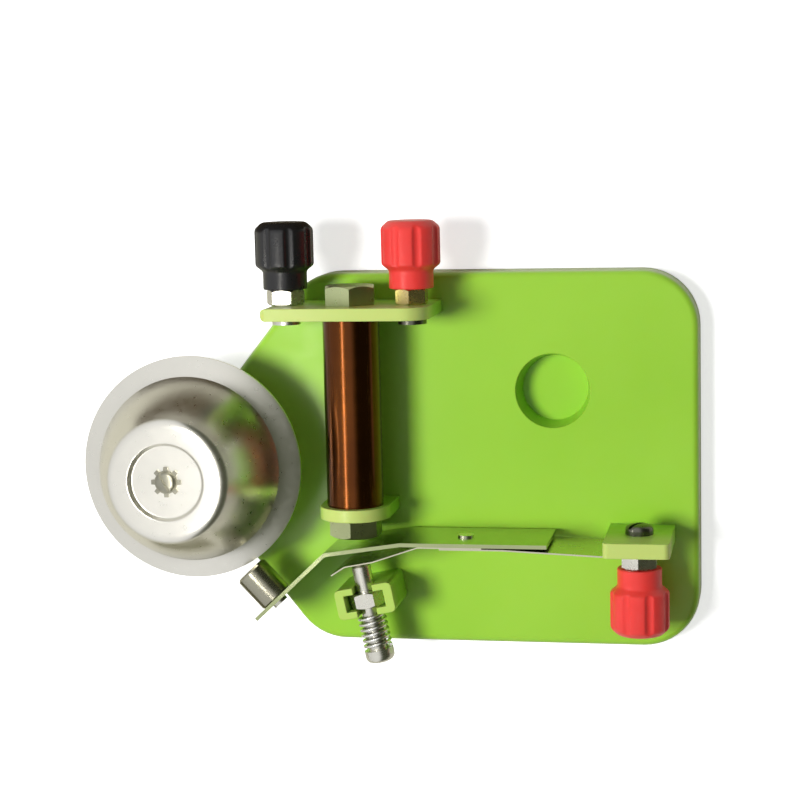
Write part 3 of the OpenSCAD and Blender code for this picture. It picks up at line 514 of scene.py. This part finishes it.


# ---- Contact spring: an open coil of round wire around the screw ----

SPRING_R, SPRING_WIRE, SPRING_TURNS, SPRING_LEN, SPRING_END = 3.1, 0.70, 6, 7.9, 3.2
s0 = -(SPRING_END + SPRING_LEN) + SPRING_WIRE / 2 + 0.05
length = SPRING_LEN - SPRING_WIRE - 0.1
path = []
n = SPRING_TURNS * 36
for i in range(n + 1):
    a = 2 * math.pi * i / 36
    r = SPRING_R - SPRING_WIRE / 2
    path.append(along_screw(r * math.cos(a), r * math.sin(a), s0 + length * i / n))
v, f = tube(path, SPRING_WIRE / 2, 10)
ends = [tuple(c * MM for c in along_screw(0, 0, s)) for s in (s0 + length, s0)]
piece(make("contact_spring_wire", v, f, spring_wire, 60), "contact_spring", (body_of["contact_tip"], *ends))


# ---- Blade spring: the CAD strip between wall and armature, cut finer ----

BLADE_Y, BLADE_CUTS = -16.8, 24
blade = bpy.data.objects.new("blade_spring", nodes["armature_spring"].data.copy())
bpy.context.scene.collection.objects.link(blade)
bm = bmesh.new()
bm.from_mesh(blade.data)
lo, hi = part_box("armature_spring")
for i in range(1, BLADE_CUTS):
    x = lo[0] + (hi[0] - lo[0]) * i / BLADE_CUTS
    bmesh.ops.bisect_plane(bm, geom=bm.verts[:] + bm.edges[:] + bm.faces[:], dist=1e-7,
                           plane_co=(x, 0, 0), plane_no=(1, 0, 0))
bm.to_mesh(blade.data)
bm.free()
piece(blade, "armature_spring",
      (body_of["armature"], (24.0 * MM, BLADE_Y * MM, AXIS_Z * MM), (-1.0 * MM, BLADE_Y * MM, AXIS_Z * MM)))


# ---- Floor, background and light ----

def stage_mat(name, col, shine, lift):
    """Matt, with another colour where it is reflected, and lifted where the camera sees it."""
    m = bpy.data.materials.new(name)
    m.use_nodes = True
    nt = m.node_tree
    nt.nodes.clear()
    out = nt.nodes.new("ShaderNodeOutputMaterial")
    dif = nt.nodes.new("ShaderNodeBsdfDiffuse")
    em = nt.nodes.new("ShaderNodeEmission")
    em.inputs["Color"].default_value = (1, 1, 1, 1)
    lp = nt.nodes.new("ShaderNodeLightPath")
    nt.links.new(colour_mix(nt, lp.outputs["Is Glossy Ray"], col, shine), dif.inputs["Color"])
    nt.links.new(math_node(nt, "MULTIPLY", lp.outputs["Is Camera Ray"], lift), em.inputs["Strength"])
    add = nt.nodes.new("ShaderNodeAddShader")
    nt.links.new(dif.outputs[0], add.inputs[0])
    nt.links.new(em.outputs[0], add.inputs[1])
    nt.links.new(add.outputs[0], out.inputs["Surface"])
    return m


# Strengths of the surroundings, and the leans in degrees over which one passes into the next
OVERHEAD, WALL, SHADE, FILL = 0.96, 0.86, 0.07, 0.17
SHADE_EDGE, TINT_EDGE, WALL_EDGE = (-32, -4), (-36, -12), (44, 60)
FLOOR_HALF, FLOOR_Z = 3.0, -0.0002
floor_me = bpy.data.meshes.new("floor")
corners = ((-1, -1), (1, -1), (1, 1), (-1, 1))
floor_me.from_pydata([(x * FLOOR_HALF, y * FLOOR_HALF, FLOOR_Z) for x, y in corners], [], [(0, 1, 2, 3)])
floor_me.materials.append(stage_mat("white_floor", (0.90, 0.90, 0.90), (0.66, 0.64, 0.54), 0.62))
floor = bpy.data.objects.new("floor", floor_me)
bpy.context.scene.collection.objects.link(floor)


def smooth(nt, fac, a, b, lo=0.0, hi=1.0):
    r = nt.nodes.new("ShaderNodeMapRange")
    r.interpolation_type = "SMOOTHSTEP"
    for k, v in (("From Min", a), ("From Max", b), ("To Min", lo), ("To Max", hi)):
        r.inputs[k].default_value = v
    nt.links.new(fac, r.inputs["Value"])
    return r.outputs["Result"]


# The surroundings: a plain fill for the light, and for what is shiny a pale room with a dim far side
world = bpy.data.worlds.new("world")
bpy.context.scene.world = world
world.use_nodes = True
wt = world.node_tree
wt.nodes.clear()
wout = wt.nodes.new("ShaderNodeOutputWorld")
bg = wt.nodes.new("ShaderNodeBackground")
lp = wt.nodes.new("ShaderNodeLightPath")
axes = wt.nodes.new("ShaderNodeSeparateXYZ")
wt.links.new(wt.nodes.new("ShaderNodeTexCoord").outputs["Generated"], axes.inputs["Vector"])
lean = math_node(wt, "ARCTAN2", math_node(wt, "MULTIPLY", axes.outputs["X"], -1.0), axes.outputs["Z"])
lean = math_node(wt, "MULTIPLY", lean, 180 / math.pi)  # degrees from upright, towards the gong's side
above = smooth(wt, lean, *SHADE_EDGE, SHADE, OVERHEAD)
side = smooth(wt, lean, *WALL_EDGE, 0.0, WALL - OVERHEAD)
shine = math_node(wt, "MULTIPLY", math_node(wt, "ADD", above, side), lp.outputs["Is Glossy Ray"])
dim_side = math_node(wt, "MULTIPLY", smooth(wt, lean, *TINT_EDGE, 1.0, 0.0), lp.outputs["Is Glossy Ray"])
wt.links.new(colour_mix(wt, dim_side, (1.0, 1.0, 1.0), (0.85, 0.95, 0.55)), bg.inputs["Color"])
plain = math_node(wt, "MAXIMUM", lp.outputs["Is Camera Ray"], lp.outputs["Is Transmission Ray"])
fill = math_node(wt, "MULTIPLY", math_node(wt, "SUBTRACT", 1.0, lp.outputs["Is Glossy Ray"]), FILL)
total = math_node(wt, "ADD", math_node(wt, "MAXIMUM", plain, fill), shine)
wt.links.new(total, bg.inputs["Strength"])
wt.links.new(bg.outputs[0], wout.inputs["Surface"])


def area(name, loc, target, size, power):
    ld = bpy.data.lights.new(name, "AREA")
    ld.shape = "DISK"
    ld.size = size
    ld.energy = power
    ob = bpy.data.objects.new(name, ld)
    bpy.context.scene.collection.objects.link(ob)
    ob.location = loc
    ob.rotation_euler = (Vector(target) - Vector(loc)).to_track_quat("-Z", "Y").to_euler()
    return ob


key = area("key", (-0.330, 0.022, 0.665), (-0.01, 0, 0.01), 0.24, 5.1)
key.visible_glossy = False


def card(name, corners, col):
    """A card beside the part: it is seen only in what is shiny."""
    me = bpy.data.meshes.new(name)
    me.from_pydata([tuple(c * MM for c in p) for p in corners], [], [(0, 1, 2, 3)])
    m = bpy.data.materials.new(name)
    m.use_nodes = True
    nt = m.node_tree
    nt.nodes.clear()
    em = nt.nodes.new("ShaderNodeEmission")
    em.inputs["Color"].default_value = (*col, 1)
    nt.links.new(em.outputs[0], nt.nodes.new("ShaderNodeOutputMaterial").inputs["Surface"])
    me.materials.append(m)
    ob = bpy.data.objects.new(name, me)
    bpy.context.scene.collection.objects.link(ob)
    for kind in ("camera", "diffuse", "transmission", "volume_scatter", "shadow"):
        setattr(ob, "visible_" + kind, False)


# Two dark cards beside the gong, and above it a soft glow with a bright middle that the coil shows
card("dark_card_up", [(-118, 53, 0), (-32, 53, 0), (-32, 53, 26), (-118, 53, 26)], (0.08, 0.055, 0.025))
card("dark_card_down", [(-90, -50, 0), (-50, -50, 0), (-50, -50, 19), (-90, -50, 19)], (0.16, 0.15, 0.07))
card("glow", [(-63, -30, 82), (-45, -30, 82), (-45, 40, 82), (-63, 40, 82)], (1.5, 1.5, 1.5))
card("streak", [(-57, -30, 80), (-51, -30, 80), (-51, 40, 80), (-57, 40, 80)], (15.0, 14.4, 13.2))

bpy.context.scene.view_settings.view_transform = "Standard"
